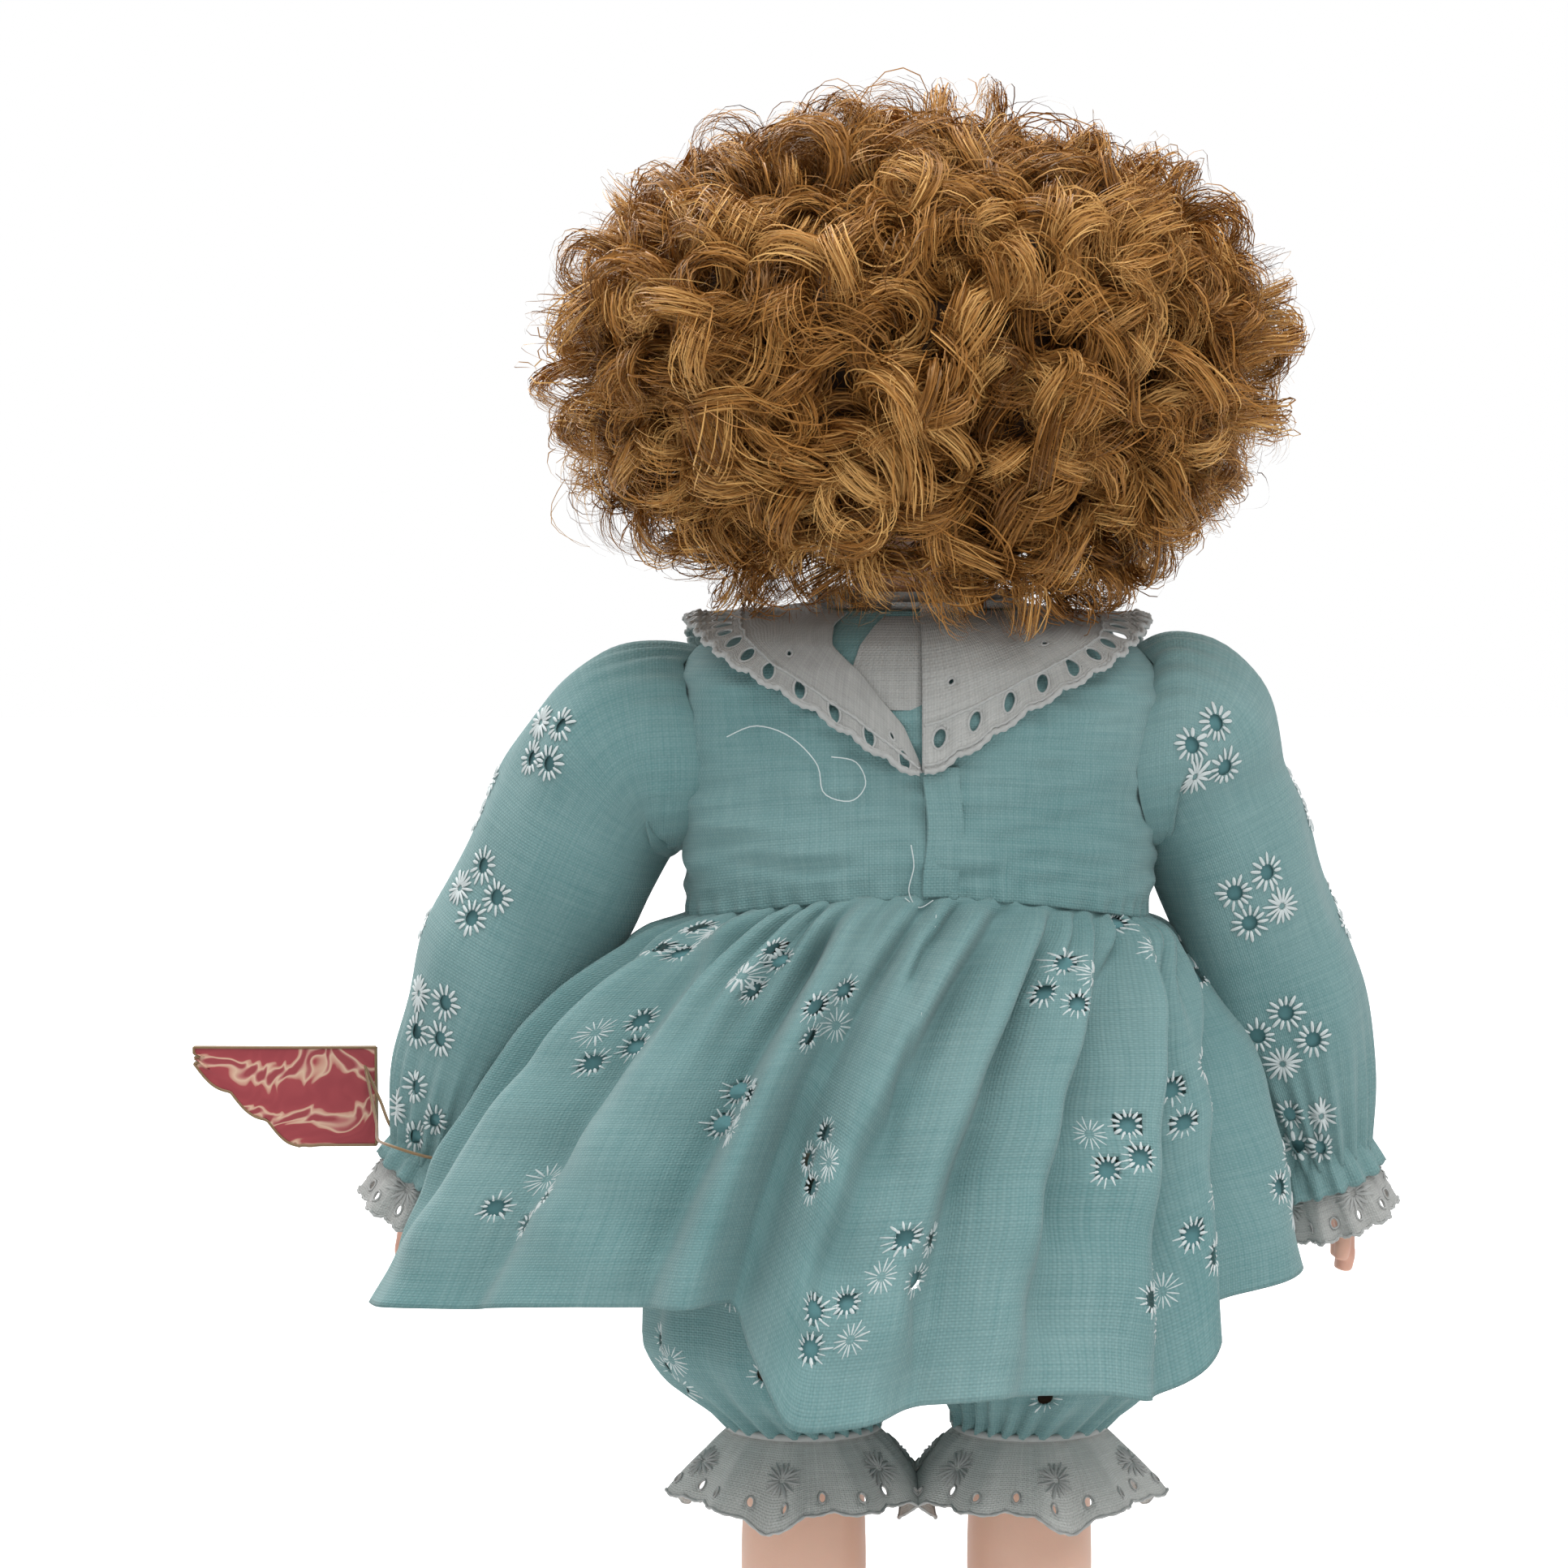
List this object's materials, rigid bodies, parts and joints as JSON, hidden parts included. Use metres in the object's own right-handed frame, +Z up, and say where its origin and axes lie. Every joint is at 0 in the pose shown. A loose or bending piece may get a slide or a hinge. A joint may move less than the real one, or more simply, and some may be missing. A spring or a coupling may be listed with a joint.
{
  "type": "porcelain doll",
  "caption": "Standing child doll with a porcelain head, hands and lower legs on a cloth body, in a cotton dress with an eyelet collar and a curly wig.",
  "frame": {"origin": "centre of the doll's box at floor level, under the soles", "axes": "+Z up, the doll faces -Y, its own left side is +X"},
  "size_m": [0.2692, 0.1492, 0.3964],
  "materials": {
    "bisque": "satin",
    "eye_glass": "polished",
    "plaster": "matte",
    "cork": "matte",
    "wig_net": "matte",
    "curls": "satin",
    "steel": "satin",
    "turned_wood": "matte",
    "body_cloth": "matte",
    "stuffing": "matte",
    "thread": "matte",
    "aqua_cotton": "matte",
    "white_eyelet": "matte",
    "white_cotton": "matte",
    "elastic": "matte",
    "shoe_leather": "satin",
    "sole_leather": "matte",
    "card_stock": "satin"
  },
  "bodies": {
    "torso": {"shoulder_plate": "bisque", "plate_stitches": "thread", "neck_button": "turned_wood", "neck_bolt": "steel", "neck_spring": "steel", "neck_washer": "steel", "neck_nut": "steel", "torso_cover": "body_cloth", "torso_stuffing": "stuffing", "bodice": "aqua_cotton", "neckband": "white_cotton", "collar_left": "white_eyelet", "collar_right": "white_eyelet", "press_studs": "steel", "skirt": "aqua_cotton", "bloomers_seat": "aqua_cotton", "waist_elastic": "elastic"},
    "head": {"porcelain_head": "bisque", "left_eye": "eye_glass", "right_eye": "eye_glass", "eye_setting": "plaster", "crown_pate": "cork", "wig_cap": "wig_net", "wig_hair": "curls"},
    "left_arm": {"left_arm_cover": "body_cloth", "left_arm_stuffing": "stuffing", "left_forearm": "bisque", "left_arm_tie": "thread", "left_sleeve": "aqua_cotton", "left_wrist_elastic": "elastic", "left_cuff": "white_eyelet", "hang_card": "card_stock"},
    "right_arm": {"right_arm_cover": "body_cloth", "right_arm_stuffing": "stuffing", "right_forearm": "bisque", "right_arm_tie": "thread", "right_sleeve": "aqua_cotton", "right_wrist_elastic": "elastic", "right_cuff": "white_eyelet"},
    "left_leg": {"left_thigh_cover": "body_cloth", "left_thigh_stuffing": "stuffing", "left_lower_leg": "bisque", "left_leg_tie": "thread", "left_bloomer_leg": "aqua_cotton", "left_knee_elastic": "elastic", "left_bloomer_ruffle": "white_eyelet", "left_sock": "white_cotton", "left_shoe": "shoe_leather", "left_sole": "sole_leather"},
    "right_leg": {"right_thigh_cover": "body_cloth", "right_thigh_stuffing": "stuffing", "right_lower_leg": "bisque", "right_leg_tie": "thread", "right_bloomer_leg": "aqua_cotton", "right_knee_elastic": "elastic", "right_bloomer_ruffle": "white_eyelet", "right_sock": "white_cotton", "right_shoe": "shoe_leather", "right_sole": "sole_leather"}
  },
  "joints": [
    {"name": "head_turn", "type": "hinge", "parent": "torso", "child": "head", "pos_m": [-0.02318, 0, 0.286], "axis": [0, 0, 1], "range_deg": [-45, 45]},
    {"name": "left_shoulder", "type": "hinge", "parent": "torso", "child": "left_arm", "pos_m": [0.03282, -0.003, 0.258], "axis": [-1, 0, 0], "range_deg": [-2, 90]},
    {"name": "right_shoulder", "type": "hinge", "parent": "torso", "child": "right_arm", "pos_m": [-0.07918, -0.003, 0.258], "axis": [-1, 0, 0], "range_deg": [-2, 90]},
    {"name": "left_hip", "type": "hinge", "parent": "torso", "child": "left_leg", "pos_m": [0.00082, 0.005, 0.186], "axis": [-1, 0, 0], "range_deg": [-18, 20]},
    {"name": "right_hip", "type": "hinge", "parent": "torso", "child": "right_leg", "pos_m": [-0.04718, 0.005, 0.186], "axis": [-1, 0, 0], "range_deg": [-18, 20]}
  ]
}
